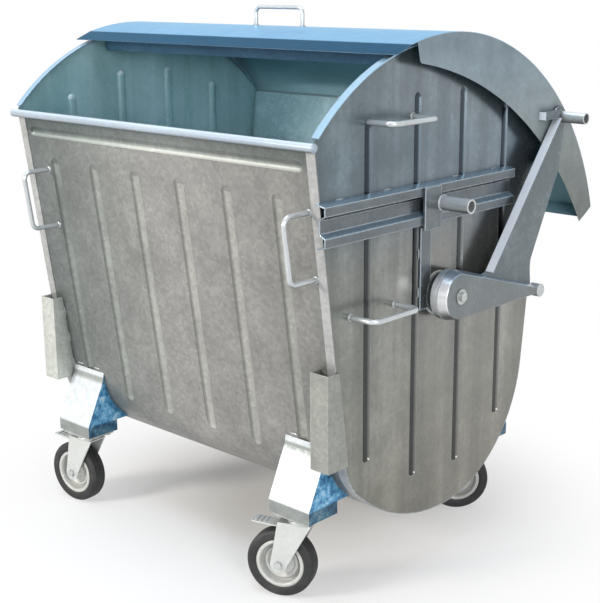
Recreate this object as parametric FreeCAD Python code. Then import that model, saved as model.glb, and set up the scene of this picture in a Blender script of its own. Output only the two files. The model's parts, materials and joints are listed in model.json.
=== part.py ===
import FreeCAD, Part
import math
import os

# Steel refuse container on four castors, with a barrel lid that swings on two end pivots.
# X runs along the length, the front faces -Y, Z is up and the floor is at zero.

# Body sheet and profile
sheet = 1.5
body_length = 1246.0
front_top_y = -511.8
wall_top_z = 1297.0
rear_top_z = 1288.0
front_lean = 7.66
rear_lean = 6.5
front_bend_r = 200.0
bottom_y = 42.0
bottom_z = 173.0
bottom_r = 560.0
rear_bend_r = 400.0

# Dome edge of the end walls and lid pivot
pivot_y = 0.0
pivot_z = 835.0
dome_r = 700.0
dome_bar_thick = 4.0
dome_bar_width = 22.0
dome_bar_end_gap = 7.0

# Pressed swages
wall_rib_pitch = 190.0
wall_rib_count = 6
wall_rib_drop = 155.0
front_rib_r = 36.0
front_rib_depth = 6.0
front_rib_run_out = 26.0
rear_rib_r = 14.0
rear_rib_depth = 6.0
rear_rib_length = 560.0
rim_rib_drop = 55.0
rim_rib_inset = 62.0
rim_rib_r = 18.0
rim_rib_depth = 7.0
end_rib_pitch = 205.0
end_rib_count = 4
end_rib_r = 18.0
end_rib_depth = 8.0
end_rib_top_margin = 140.0
end_rib_bottom_margin = 130.0

# Corner strips and rim tubes
strip_width = 30.0
rim_r = 12.0
rim_wall = 2.5
rim_overhang = 10.0
rim_seat = 0.6
front_rim_drop = 0.0
rear_rim_drop = 6.0

# Side rails
rail_front_right_y = -508.0
rail_front_left_y = -455.0
rail_rear_y = 324.0
rail_depth = 31.0
rail_valley_depth = 13.0
rail_z = 1099.0
rail_height = 116.0
rail_ridge_flat = 24.0
rail_ridge_spacing = 80.0
rail_valley_slope = 11.0
rail_sheet = 3.0

# Trunnions for the lifting arms
trunnion_y = -35.0
trunnion_z = 1100.0
trunnion_r = 20.0
trunnion_wall = 5.0
trunnion_length = 95.0
trunnion_spigot_r = 18.0
strap_thick = 8.0
plate_width = 71.0
plate_ahead = 42.5
plate_height = 110.0
strap_width = 45.0
strap_ahead = 32.5
strap_bottom_z = 800.0

# Handles
handle_bend = 22.0
front_handle_r = 7.0
front_handle_right_inset = 40.0
front_handle_left_inset = 111.0
front_handle_top_z = 1128.0
front_handle_bottom_z = 950.0
front_handle_reach = 95.0
end_handle_r = 8.0
end_handle_reach = 83.0
end_handle_width = 183.0
upper_handle_y = -216.0
upper_handle_z = 1340.0
lower_handle_y = -283.0
lower_handle_z = 838.0

# Corner pockets
pocket_sheet = 4.0
pocket_width = 60.0
pocket_front_y = -468.0
pocket_bottom_z = 425.0
pocket_top_z = 698.0
pocket_lap = 8.0
pocket_depth = 100.0

# Legs
leg_inset = 63.0
leg_width = 153.0
leg_sheet = 4.0
leg_base_z = 258.0
leg_base_thick = 8.0
leg_front_y = 472.0
leg_back_y = 355.0
leg_skirt_top_z = 295.0
leg_slope_y = 405.0
leg_slope_top_z = 440.0
leg_flange_top_z = 475.0
leg_flange_y = 398.0
leg_root_y = 250.0

# Castors
castor_inset = 143.0
castor_front_y = -416.0
castor_rear_y = 415.0
castor_plate_x = 130.0
castor_plate_y = 100.0
castor_plate_thick = 8.0
castor_bolt_x = 100.0
castor_bolt_y = 74.0
castor_bolt_r = 5.0
castor_bolt_flats = 17.0
castor_bolt_head = 7.0
race_r = 32.0
race_drop = 9.0
running_gap = 0.3
king_r = 10.0
king_head_r = 18.0
king_head_thick = 10.0
crown_thick = 5.0
crown_ring = 8.0
crown_back = 40.0
crown_front = 60.0
fork_sheet = 4.0
fork_boss_r = 25.0
wheel_r = 101.0
wheel_width = 54.0
wheel_side_gap = 3.0
trail = 58.0
tyre_depth = 29.0
tyre_crown = 7.0
rim_lip = 11.0
rim_lip_width = 48.0
rim_web = 10.0
hub_r = 21.0
hub_side_gap = 1.0
axle_r = 7.0
axle_flats = 19.0
axle_head = 8.0
shaft_clearance = 0.05
castor_turns = {"front_right": 203.0, "front_left": 187.0, "rear_right": 222.0, "rear_left": 190.0}

# Brake pedals of the front castors
pedal_pin_x = 40.0
pedal_pin_z = 214.0
pedal_pin_r = 4.0
pedal_sleeve_r = 8.0
pedal_thick = 4.0
pedal_width = 44.0
pedal_knee_x = 92.0
pedal_knee_z = 218.0
pedal_tip_x = 142.0
pedal_tip_z = 222.0

# Lid
lid_gap = 15.0
lid_sheet = 1.5
lid_overhang = 42.0
lid_front_angle = -15.0
lid_flare_angle = 15.0
lid_flare_r = 806.0
lid_rear_angle = 73.5
lid_rear_fold = 54.0
visor_angle = -20.0
visor_drop = 5.0
lip_depth = 60.0
lip_side_gap = 21.0
cheek_front_angle = -13.0
cheek_front_depth = 56.0
cheek_middle_depth = 149.0
cheek_middle_angle = 24.6
cheek_rear_depth = 26.0
cheek_rear_angle = 81.2
cheek_corner_r = 16.0
lid_handle_r = 6.0
lid_handle_half = 97.0
lid_handle_height = 55.0
lid_handle_angle = 1.0
lid_handle_bend = 18.0

# Pivots and levers
base_disc_r = 60.0
base_disc_thick = 8.0
shoulder_r = 26.0
axle_stub_r = 17.0
bush_wall = 9.0
lever_back_depth = 18.0
lever_sheet = 3.0
lever_cover_depth = 30.0
lever_cover_draft = 8.0
lever_cover_round = 5.0
lever_r = 72.0
lever_tip_r = 16.0
lever_tip_y = 400.0
lever_tip_z = 776.0
lever_parting = 1.0
tip_stub_r = 20.0
tip_stub_length = 31.0
tip_stub_beyond = 9.0
cover_hole_gap = 1.0
bolt_washer_r = 22.0
bolt_washer_thick = 3.0
bolt_flats = 24.0
bolt_head = 9.0
bolt_shank_r = 8.0
bolt_shank_length = 40.0
stop_distance = 150.0
stop_size = 24.0
stop_lug_height = 20.0
stop_block_height = 16.0
stop_lug_depth = 14.0
stop_block_depth = 24.0

# Lid arms
arm_gap = 5.0
arm_thick = 5.0
arm_flange = 23.0
arm_front_low_y = 165.0
arm_front_low_z = 873.0
arm_front_top_y = 497.0
arm_front_top_z = 1286.0
arm_rear_low_y = 390.0
arm_rear_low_z = 861.0
arm_rear_knee_y = 535.0
arm_rear_knee_z = 1137.0
arm_pin_y = 524.0
arm_pin_z = 1286.0
arm_pin_r = 17.0
arm_pin_wall = 3.5
arm_pin_reach = 100.0
arm_eye_r = 32.0
flange_cover_gap = 3.0
bracket_front_y = 425.0
bracket_bottom_z = 1284.0
bracket_height = 24.0
bracket_depth = 24.0

hexagon_sides = 6
half = body_length / 2
lid_half_length = half + lid_overhang
front_handle_right_x = half - front_handle_right_inset
front_handle_left_x = front_handle_left_inset - half
pocket_inner_x = half - pocket_width
leg_outer_x = half - leg_inset
leg_inner_x = leg_outer_x - leg_width
castor_x = half - castor_inset
across = FreeCAD.Vector(1, 0, 0)
origin = FreeCAD.Vector(0, 0, 0)
up = FreeCAD.Vector(0, 0, 1)


def point(x, y, z):
    return FreeCAD.Vector(x, y, z)


def sine(degrees):
    return math.sin(math.radians(degrees))


def cosine(degrees):
    return math.cos(math.radians(degrees))


def line(start, end):
    return Part.LineSegment(start, end).toShape()


def arc(start, middle, end):
    return Part.Arc(start, middle, end).toShape()


def wire(edges):
    return Part.Wire(Part.__sortEdges__(edges))


def prism(edges, vector):
    return Part.Face(wire(edges)).extrude(vector)


def polygon(points):
    closed = points + [points[0]]
    return [line(closed[i], closed[i + 1]) for i in range(len(points))]


def box(x0, x1, y0, y1, z0, z1):
    return Part.makeBox(x1 - x0, y1 - y0, z1 - z0, point(x0, y0, z0))


def cylinder(radius, x0, x1, y, z):
    return Part.makeCylinder(radius, x1 - x0, point(x0, y, z), across)


def tube(radius, wall, x0, x1, y, z):
    return cylinder(radius, x0, x1, y, z).cut(cylinder(radius - wall, x0, x1, y, z))


def hexagon(flats, height, centre, axis):
    step = 360 / hexagon_sides
    radius = flats / 2 / cosine(step / 2)
    corners = [point(radius * cosine(step * i), radius * sine(step * i), 0) for i in range(hexagon_sides)]
    solid = prism(polygon(corners), point(0, 0, height))
    solid.Placement = FreeCAD.Placement(centre, FreeCAD.Rotation(up, axis))
    return solid


def mirrored(shape):
    return shape.mirror(origin, across)


def both_ends(shape):
    return Part.makeCompound([shape, mirrored(shape)])


def joined(shapes):
    return shapes[0].multiFuse(shapes[1:]).removeSplitter()


# A round bar along straight runs joined by tangent bends
def bent_bar(points, radius, bend):
    edges = []
    start = points[0]
    for before, corner, after in zip(points, points[1:], points[2:]):
        arriving = (before - corner).normalize()
        leaving = (after - corner).normalize()
        half_turn = arriving.getAngle(leaving) / 2
        reach = bend / math.tan(half_turn)
        inward = (arriving + leaving).normalize()
        middle = corner + inward * (bend / math.sin(half_turn) - bend)
        edges.append(line(start, corner + arriving * reach))
        edges.append(arc(corner + arriving * reach, middle, corner + leaving * reach))
        start = corner + leaving * reach
    edges.append(line(start, points[-1]))
    section = Part.Wire(Part.makeCircle(radius, points[0], points[1] - points[0]))
    return Part.Wire(edges).makePipeShell([section], True, False)


# Profile of the body: front wall, front bend, bottom, rear bend, rear wall
front_in = point(0, cosine(front_lean), sine(front_lean))
front_up = point(0, -sine(front_lean), cosine(front_lean))
rear_out = point(0, cosine(rear_lean), -sine(rear_lean))
bottom_centre = point(0, bottom_y, bottom_z + bottom_r)
rear_centre = point(0, bottom_y, bottom_z + rear_bend_r)
front_top = point(0, front_top_y, wall_top_z)


# The front bend touches the front wall and, from inside, the bottom's arc
def front_bend_centre():
    base = front_top + front_in * front_bend_r
    away = base - bottom_centre
    along = away.dot(front_up)
    room = (bottom_r - front_bend_r) ** 2 - away.dot(away) + along ** 2
    return base + front_up * (-along - math.sqrt(room))


front_centre = front_bend_centre()


def from_centre(centre, toward, radius):
    return centre + FreeCAD.Vector(toward).normalize() * radius


def front_wall_y(z, offset=0.0):
    return front_top_y - (z - wall_top_z) * math.tan(math.radians(front_lean)) - offset / cosine(front_lean)


def rear_wall_y(z, offset=0.0):
    tangent = rear_centre + rear_out * rear_bend_r
    return tangent.y + (z - tangent.z) * math.tan(math.radians(rear_lean)) + offset / cosine(rear_lean)


# Corner points of the profile, moved outwards by an offset
def profile_points(offset):
    front_foot = front_centre - front_in * (front_bend_r + offset)
    bend_foot = from_centre(bottom_centre, front_centre - bottom_centre, bottom_r + offset)
    lowest = point(0, bottom_y, bottom_z - offset)
    rear_foot = rear_centre + rear_out * (rear_bend_r + offset)
    return [
        point(0, front_wall_y(wall_top_z, offset), wall_top_z),
        front_foot,
        bend_foot,
        lowest,
        rear_foot,
        point(0, rear_wall_y(rear_top_z, offset), rear_top_z),
    ]


# Edges of the profile between two of its corner points
def profile_edges(offset, first, last):
    corners = profile_points(offset)
    arcs = {
        1: (front_centre, front_bend_r),
        2: (bottom_centre, bottom_r),
        3: (rear_centre, rear_bend_r),
    }
    edges = []
    for i in range(first, last):
        if i in arcs:
            centre, radius = arcs[i]
            halfway = (corners[i] - centre).normalize() + (corners[i + 1] - centre).normalize()
            edges.append(arc(corners[i], from_centre(centre, halfway, radius + offset), corners[i + 1]))
        else:
            edges.append(line(corners[i], corners[i + 1]))
    return edges


# A bent sheet along part of the profile
def profile_band(inside, outside, first, last, x0, x1):
    inner = profile_points(inside)
    outer = profile_points(outside)
    edges = profile_edges(inside, first, last) + profile_edges(outside, first, last)
    edges.append(line(inner[first], outer[first]))
    edges.append(line(inner[last], outer[last]))
    band = prism(edges, point(x1 - x0, 0, 0))
    band.translate(point(x0, 0, 0))
    return band


# The whole cross-section as a solid block, to trim what is welded on
def profile_block(offset, x0, x1):
    corners = profile_points(offset)
    edges = profile_edges(offset, 0, 5)
    edges.append(line(corners[5], corners[0]))
    block = prism(edges, point(x1 - x0, 0, 0))
    block.translate(point(x0, 0, 0))
    return block


hull_block = profile_block(0.0, -half, half)
strip_blocks = [
    profile_block(sheet, half - strip_width, half),
    profile_block(sheet, -half, -half + strip_width),
]


def trimmed_to_hull(shape):
    return shape.cut(hull_block).cut(strip_blocks[0]).cut(strip_blocks[1])


# A round-ended tool for pressing a swage, turned about its own length
def swage_tool(start, end, radius, outward):
    run = (end - start).normalize()
    edges = [
        arc(start - run * radius, from_centre(start, outward - run, radius), start + outward * radius),
        line(start + outward * radius, end + outward * radius),
        arc(end + outward * radius, from_centre(end, outward + run, radius), end + run * radius),
        line(end + run * radius, start - run * radius),
    ]
    return Part.Face(wire(edges)).revolve(start, run, 360)


def pressed(panel, start, end, radius, outward, outside_block):
    bead = swage_tool(start, end, radius + sheet, outward).common(outside_block)
    return panel.fuse(bead).cut(swage_tool(start, end, radius, outward)).removeSplitter()


def rib_places(pitch, count):
    return [pitch * (i - (count - 1) / 2) for i in range(count)]


# Front wall: upright swages that run out in the bend and a long one under the rim, all pressed inwards
def make_front_wall():
    wall = profile_band(-sheet, 0.0, 0, 2, -half, half)
    corners = profile_points(front_rib_r - front_rib_depth)
    top = corners[0] - front_up * wall_rib_drop
    low = corners[1] - front_up * front_rib_run_out
    for x in rib_places(wall_rib_pitch, wall_rib_count):
        shift = point(x, 0, 0)
        wall = pressed(wall, top + shift, low + shift, front_rib_r, -front_in, hull_block)
    middle = profile_points(rim_rib_r - rim_rib_depth)[0] - front_up * rim_rib_drop
    reach = point(half - rim_rib_inset, 0, 0)
    return pressed(wall, middle - reach, middle + reach, rim_rib_r, -front_in, hull_block)


def make_rear_wall():
    wall = profile_band(-sheet, 0.0, 4, 5, -half, half)
    corners = profile_points(rear_rib_r - rear_rib_depth)
    rise = (corners[5] - corners[4]).normalize()
    top = corners[5] - rise * wall_rib_drop
    low = top - rise * rear_rib_length
    for x in rib_places(wall_rib_pitch, wall_rib_count):
        shift = point(x, 0, 0)
        wall = pressed(wall, top + shift, low + shift, rear_rib_r, rear_out, hull_block)
    return wall


def on_dome(start, direction, radius):
    away = start - point(0, pivot_y, pivot_z)
    along = away.dot(direction)
    reach = math.sqrt(along ** 2 - away.dot(away) + radius ** 2)
    return start + direction * (reach - along)


# Where the front and rear edges of the end wall meet its dome
def dome_corners():
    corners = profile_points(-sheet)
    rear_up = (corners[5] - corners[4]).normalize()
    return on_dome(corners[0], front_up, dome_r), on_dome(corners[5], rear_up, dome_r)


def end_wall_outline():
    corners = profile_points(-sheet)
    front_end, rear_end = dome_corners()
    crest = point(0, pivot_y, pivot_z + dome_r)
    edges = profile_edges(-sheet, 1, 4)
    edges.append(line(front_end, corners[1]))
    edges.append(line(corners[4], rear_end))
    edges.append(arc(front_end, crest, rear_end))
    return edges


def dome_height(y):
    return pivot_z + math.sqrt(dome_r ** 2 - (y - pivot_y) ** 2)


def bottom_height(y):
    centre, radius = (bottom_centre, bottom_r) if y < bottom_y else (rear_centre, rear_bend_r)
    return centre.z - math.sqrt(radius ** 2 - (y - centre.y) ** 2)


# End wall: flat plate with upright swages pressed inwards
def make_end_wall():
    outline = end_wall_outline()
    wall = prism(outline, point(sheet, 0, 0))
    wall.translate(point(half - sheet, 0, 0))
    thick_block = prism(outline, point(half, 0, 0))
    x = half + end_rib_r - end_rib_depth
    for y in rib_places(end_rib_pitch, end_rib_count):
        low = point(x, y, bottom_height(y) + end_rib_bottom_margin)
        top = point(x, y, dome_height(y) - end_rib_top_margin)
        wall = pressed(wall, low, top, end_rib_r, across, thick_block)
    return wall


def polar(radius, angle):
    return point(0, pivot_y + radius * sine(angle), pivot_z + radius * cosine(angle))


# A ring sector about the lid pivot, extruded along X
def sector(r0, r1, a0, a1, x0, x1):
    middle = (a0 + a1) / 2
    edges = [
        arc(polar(r0, a0), polar(r0, middle), polar(r0, a1)),
        arc(polar(r1, a0), polar(r1, middle), polar(r1, a1)),
        line(polar(r0, a0), polar(r1, a0)),
        line(polar(r0, a1), polar(r1, a1)),
    ]
    solid = prism(edges, point(x1 - x0, 0, 0))
    solid.translate(point(x0, 0, 0))
    return solid


def angle_of(place):
    return math.degrees(math.atan2(place.y - pivot_y, place.z - pivot_z))


# Rim tubes sit against the outer face of the front and rear walls
def rim_centres():
    offset = rim_r - rim_seat
    front = profile_points(offset)[0] - front_up * front_rim_drop
    corners = profile_points(offset)
    rear = corners[5] - (corners[5] - corners[4]).normalize() * rear_rim_drop
    return front, rear


front_rim_place, rear_rim_place = rim_centres()


def make_rim(place):
    reach = half + rim_overhang
    return trimmed_to_hull(tube(rim_r, rim_wall, -reach, reach, place.y, place.z))


def make_dome_bar():
    end_angle = math.degrees(dome_bar_end_gap / dome_r)
    front_end, rear_end = dome_corners()
    middle_x = half - sheet / 2
    return sector(
        dome_r,
        dome_r + dome_bar_thick,
        angle_of(front_end) + end_angle,
        angle_of(rear_end) - end_angle,
        middle_x - dome_bar_width / 2,
        middle_x + dome_bar_width / 2,
    )


# Corners of an open folded strip in the XZ plane, with the sheet added on its inner side
def folded_section(points, thick):
    shifted = []
    for i, place in enumerate(points):
        before = points[max(i - 1, 0)]
        after = points[min(i + 1, len(points) - 1)]
        turn_in = place - before if i > 0 else after - place
        turn_out = after - place if i < len(points) - 1 else turn_in
        normal_in = point(turn_in.z, 0, -turn_in.x).normalize()
        normal_out = point(turn_out.z, 0, -turn_out.x).normalize()
        bisector = (normal_in + normal_out).normalize()
        shifted.append(place + bisector * (thick / bisector.dot(normal_in)))
    return points + shifted[::-1]


# Trunnion: a tube that seats on the strap's face, with a spigot through the rail to the end wall
trunnion_seat_x = half + rail_depth + strap_thick


def trunnion_bar(radius, x0, x1):
    return cylinder(radius, x0, x1, trunnion_y, trunnion_z)


def make_trunnion():
    end = trunnion_seat_x + trunnion_length
    spigot = trunnion_bar(trunnion_spigot_r, half, trunnion_seat_x)
    free_end = trunnion_bar(trunnion_r, trunnion_seat_x, end)
    bore = trunnion_bar(trunnion_r - trunnion_wall, trunnion_seat_x, end)
    return spigot.fuse(free_end).removeSplitter().cut(bore)


# Side rail: a folded strip with two ridges, open at its ends, welded to the end wall
def make_side_rail(front_y):
    top_z = rail_z + rail_height / 2
    low_z = rail_z - rail_height / 2
    outer_x = half + rail_depth
    valley_x = half + rail_valley_depth
    ridge = rail_ridge_flat / 2
    spread = rail_ridge_spacing / 2
    upper = rail_z + spread
    lower = rail_z - spread
    corners = [
        point(half, 0, top_z),
        point(outer_x, 0, upper + ridge),
        point(outer_x, 0, upper - ridge),
        point(valley_x, 0, upper - ridge - rail_valley_slope),
        point(valley_x, 0, lower + ridge + rail_valley_slope),
        point(outer_x, 0, lower + ridge),
        point(outer_x, 0, lower - ridge),
        point(half, 0, low_z),
    ]
    section = folded_section(corners, rail_sheet)
    rail = prism(polygon(section), point(0, rail_rear_y - front_y, 0))
    rail.translate(point(0, front_y, 0))
    clear = box(0, half, front_y, rail_rear_y, low_z - rail_height, top_z + rail_height)
    return rail.cut(clear).cut(trunnion_bar(trunnion_spigot_r, half, trunnion_seat_x))


# Strap: a plate across both ridges of the rail, stepped in to a flat bar on the end wall
def make_trunnion_strap():
    rail_low = rail_z - rail_height / 2
    plate_middle = trunnion_y - plate_ahead
    strap_middle = trunnion_y - strap_ahead
    plate_low = rail_low - strap_thick
    face_x = half + rail_depth
    plate = box(
        face_x,
        face_x + strap_thick,
        plate_middle - plate_width / 2,
        plate_middle + plate_width / 2,
        plate_low,
        plate_low + plate_height + strap_thick,
    )
    strap_front = strap_middle - strap_width / 2
    strap_rear = strap_middle + strap_width / 2
    step = box(half, face_x, strap_front, strap_rear, plate_low, rail_low)
    bar = box(half, half + strap_thick, strap_front, strap_rear, strap_bottom_z, plate_low)
    tube_place = trunnion_bar(trunnion_spigot_r, half, trunnion_seat_x)
    disc_place = cylinder(base_disc_r, half, half + base_disc_thick, pivot_y, pivot_z)
    return joined([plate, step, bar]).cut(tube_place).cut(disc_place)


def make_front_handle(x):
    sunk = sheet
    top = front_handle_top_z
    low = front_handle_bottom_z
    points = [
        point(x, front_wall_y(top) + sunk, top),
        point(x, front_wall_y(top) - front_handle_reach, top),
        point(x, front_wall_y(low) - front_handle_reach, low),
        point(x, front_wall_y(low) + sunk, low),
    ]
    return trimmed_to_hull(bent_bar(points, front_handle_r, handle_bend))


def make_end_handle(y, z):
    front = y - end_handle_width / 2
    rear = y + end_handle_width / 2
    foot = half - end_rib_depth
    points = [
        point(foot, front, z),
        point(half + end_handle_reach, front, z),
        point(half + end_handle_reach, rear, z),
        point(foot, rear, z),
    ]
    cut_bar = bent_bar(points, end_handle_r, handle_bend).cut(make_end_wall())
    return max(cut_bar.Solids, key=lambda solid: solid.Volume)


def make_end_handles():
    upper = make_end_handle(upper_handle_y, upper_handle_z)
    lower = make_end_handle(lower_handle_y, lower_handle_z)
    return Part.makeCompound([upper, lower])


# Corner pocket: a folded channel across the corner, open at both ends
def make_corner_pocket():
    outer_x = half + pocket_sheet
    back_y = pocket_front_y + pocket_depth
    shell = box(pocket_inner_x, outer_x, pocket_front_y, back_y, pocket_bottom_z, pocket_top_z)
    inner_y = pocket_front_y + pocket_sheet
    room = box(pocket_inner_x + pocket_sheet, half, inner_y, back_y, pocket_bottom_z, pocket_top_z)
    lap_edge = profile_block(-pocket_lap, half, outer_x)
    return trimmed_to_hull(shell.cut(room)).cut(lap_edge)


# Side view of a leg, from the wall flange down to the foot
def leg_side(inset):
    front = leg_front_y - inset
    foot = leg_base_z + (leg_base_thick if inset else 0.0)
    slope = leg_slope_y - inset
    return [
        (leg_root_y, leg_flange_top_z),
        (leg_flange_y - inset, leg_flange_top_z),
        (slope, leg_slope_top_z),
        (front, leg_skirt_top_z),
        (front, foot),
        (leg_back_y + inset, foot),
        (leg_back_y + inset, leg_skirt_top_z),
        (leg_root_y, leg_skirt_top_z),
    ]


def leg_block(x0, x1, inset, facing):
    corners = [point(x0, facing * y, z) for y, z in leg_side(inset)]
    return prism(polygon(corners), point(x1 - x0, 0, 0))


# Leg: folded plate box, open towards the trough, with a foot plate for the castor
def make_leg(facing, castor_y):
    outer = leg_block(leg_inner_x, leg_outer_x, 0.0, facing)
    inner = leg_block(leg_inner_x + leg_sheet, leg_outer_x - leg_sheet, leg_sheet, facing)
    leg = trimmed_to_hull(outer.cut(inner))
    leg = max(leg.Solids, key=lambda solid: solid.Volume)
    for x, y in bolt_places(castor_x, castor_y):
        hole = Part.makeCylinder(castor_bolt_r, leg_base_thick, point(x, y, leg_base_z))
        leg = leg.cut(hole)
    return leg


def bolt_places(x, y):
    signs = [(1, 1), (1, -1), (-1, 1), (-1, -1)]
    return [(x + sx * castor_bolt_x / 2, y + sy * castor_bolt_y / 2) for sx, sy in signs]


plate_low_z = leg_base_z - castor_plate_thick
race_z = plate_low_z - race_drop
crown_top_z = race_z - running_gap
crown_low_z = crown_top_z - crown_ring - crown_thick
king_head_z = crown_low_z - running_gap


def make_castor_plate(x, y):
    low = plate_low_z
    half_x = castor_plate_x / 2
    half_y = castor_plate_y / 2
    plate = box(x - half_x, x + half_x, y - half_y, y + half_y, low, leg_base_z)
    race = Part.makeCylinder(race_r, race_drop, point(x, y, race_z))
    plate = plate.fuse(race).removeSplitter()
    plate = plate.cut(Part.makeCylinder(king_r, leg_base_z - race_z, point(x, y, race_z)))
    for bolt_x, bolt_y in bolt_places(x, y):
        plate = plate.cut(Part.makeCylinder(castor_bolt_r, castor_plate_thick, point(bolt_x, bolt_y, low)))
    return plate


def make_king_pin(x, y):
    low = king_head_z - king_head_thick
    head = Part.makeCylinder(king_head_r, king_head_thick, point(x, y, low))
    shank = Part.makeCylinder(king_r, leg_base_z - low, point(x, y, low))
    return head.fuse(shank).removeSplitter()


def make_castor_bolt(x, y):
    top = leg_base_z + leg_base_thick
    shank = Part.makeCylinder(castor_bolt_r, top - plate_low_z, point(x, y, plate_low_z))
    head = hexagon(castor_bolt_flats, castor_bolt_head, point(x, y, plate_low_z), -up)
    nut = hexagon(castor_bolt_flats, castor_bolt_head, point(x, y, top), up)
    return joined([shank, head, nut])


fork_inner = wheel_width / 2 + wheel_side_gap
fork_outer = fork_inner + fork_sheet


def across_bar(radius, reach, x, z):
    return Part.makeCylinder(radius, 2 * reach, point(x, -reach, z), point(0, 1, 0))


# Fork of a castor, with the wheel trailing along +X
def make_fork(with_pedal):
    crown_z = crown_low_z + crown_thick
    cheek = [
        point(-crown_back, -fork_outer, crown_z),
        point(crown_front, -fork_outer, crown_z),
        point(trail + fork_boss_r, -fork_outer, wheel_r),
        point(trail - fork_boss_r, -fork_outer, wheel_r),
    ]
    cheeks = prism(polygon(cheek), point(0, 2 * fork_outer, 0))
    cheeks = cheeks.fuse(across_bar(fork_boss_r, fork_outer, trail, wheel_r))
    inside = box(-2 * wheel_r, 2 * wheel_r, -fork_inner, fork_inner, 0, crown_low_z)
    ring = Part.makeCylinder(race_r, crown_ring, point(0, 0, crown_z))
    fork = cheeks.cut(inside).fuse(ring)
    if with_pedal:
        fork = fork.fuse(across_bar(pedal_pin_r, fork_inner, pedal_pin_x, pedal_pin_z))
    king_hole = Part.makeCylinder(king_r + shaft_clearance, crown_z, point(0, 0, crown_low_z))
    axle_hole = across_bar(axle_r, fork_outer, trail, wheel_r)
    return fork.removeSplitter().cut(king_hole).cut(axle_hole)


def make_axle():
    shank = across_bar(axle_r, fork_outer, trail, wheel_r)
    side = point(0, 1, 0)
    head = hexagon(axle_flats, axle_head, point(trail, fork_outer, wheel_r), side)
    nut = hexagon(axle_flats, axle_head, point(trail, -fork_outer, wheel_r), -side)
    return joined([shank, head, nut])


# A wheel piece turned about the axle from its half section of radius and width
def turned(section):
    corners = [point(trail + r, w, wheel_r) for r, w in section]
    face = Part.Face(Part.makePolygon(corners + [corners[0]]))
    return face.revolve(point(trail, 0, wheel_r), point(0, 1, 0), 360)


tyre_bed_r = wheel_r - tyre_depth


def make_wheel_rim():
    hub = fork_inner - hub_side_gap
    bore = axle_r + shaft_clearance
    lip_r = tyre_bed_r - rim_lip
    lip = rim_lip_width / 2
    web = rim_web / 2
    upper = [(bore, hub), (hub_r, hub), (hub_r, web), (lip_r, web), (lip_r, lip), (tyre_bed_r, lip)]
    lower = [(r, -w) for r, w in upper]
    return turned(upper + lower[::-1])


def make_tyre():
    wide = wheel_width / 2
    lip = rim_lip_width / 2
    upper = [(tyre_bed_r, lip), (tyre_bed_r + tyre_crown, wide), (wheel_r - tyre_crown, wide)]
    upper.append((wheel_r, wide - tyre_crown))
    lower = [(r, -w) for r, w in upper]
    return turned(upper + lower[::-1])


# Brake pedal: a sleeve on the fork's cross pin, with a bent tread over the tyre
def make_pedal():
    sleeve_reach = fork_inner - running_gap
    side = pedal_width / 2
    tread = [
        point(pedal_pin_x, -side, pedal_pin_z + pedal_thick / 2),
        point(pedal_knee_x, -side, pedal_knee_z),
        point(pedal_tip_x, -side, pedal_tip_z),
        point(pedal_tip_x, -side, pedal_tip_z - pedal_thick),
        point(pedal_knee_x, -side, pedal_knee_z - pedal_thick),
        point(pedal_pin_x, -side, pedal_pin_z - pedal_thick / 2),
    ]
    plate = prism(polygon(tread), point(0, pedal_width, 0))
    sleeve = across_bar(pedal_sleeve_r, sleeve_reach, pedal_pin_x, pedal_pin_z)
    bore = across_bar(pedal_pin_r + shaft_clearance, fork_inner, pedal_pin_x, pedal_pin_z)
    return plate.fuse(sleeve).removeSplitter().cut(bore)


def castor_place(name):
    x = castor_x if name.endswith("right") else -castor_x
    y = castor_front_y if name.startswith("front") else castor_rear_y
    return x, y


def placed(shape, name):
    x, y = castor_place(name)
    turned_shape = shape.copy()
    turned_shape.rotate(origin, up, castor_turns[name])
    turned_shape.translate(point(x, y, 0))
    return turned_shape


# Lid: its front part bends about the pivot and its rear part, more gently, about a centre of its own
lid_r = dome_r + dome_bar_thick + lid_gap
flare_centre = polar(lid_r - lid_flare_r, lid_flare_angle)


def on_flare(offset, angle):
    radius = lid_flare_r + offset
    return flare_centre + point(0, radius * sine(angle), radius * cosine(angle))


def lid_edges(offset, front_angle):
    front = polar(lid_r + offset, front_angle)
    middle = polar(lid_r + offset, (front_angle + lid_flare_angle) / 2)
    joint = polar(lid_r + offset, lid_flare_angle)
    flare_middle = on_flare(offset, (lid_flare_angle + lid_rear_angle) / 2)
    return [arc(front, middle, joint), arc(joint, flare_middle, on_flare(offset, lid_rear_angle))]


def cheek_rear_corner():
    return polar(lid_r - cheek_rear_depth, cheek_rear_angle)


# Visor: the front edge of the shell, bent down a little
def visor_outline():
    return [
        polar(lid_r, lid_front_angle),
        polar(lid_r + lid_sheet, lid_front_angle),
        polar(lid_r - visor_drop + lid_sheet, visor_angle),
        polar(lid_r - visor_drop, visor_angle),
    ]


# Rear fold: the rear edge of the shell, turned in along the ends of the cheeks
def rear_fold_outline():
    inner = on_flare(0.0, lid_rear_angle)
    outer = on_flare(lid_sheet, lid_rear_angle)
    run = (cheek_rear_corner() - inner).normalize()
    shell_out = (outer - inner).normalize()
    fold_out = point(0, -run.z, run.y)
    corner = inner + (shell_out + fold_out) * (lid_sheet / (1 + shell_out.dot(fold_out)))
    tip = inner + run * lid_rear_fold
    return [inner, tip, tip + fold_out * lid_sheet, corner, outer]


def make_lid_shell():
    edges = lid_edges(0.0, lid_front_angle) + lid_edges(lid_sheet, lid_front_angle)
    edges.append(line(polar(lid_r, lid_front_angle), polar(lid_r + lid_sheet, lid_front_angle)))
    edges.append(line(on_flare(0.0, lid_rear_angle), on_flare(lid_sheet, lid_rear_angle)))
    outlines = [edges, polygon(visor_outline()), polygon(rear_fold_outline())]
    shell = joined([prism(outline, point(2 * lid_half_length, 0, 0)) for outline in outlines])
    shell.translate(point(-lid_half_length, 0, 0))
    return shell


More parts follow.
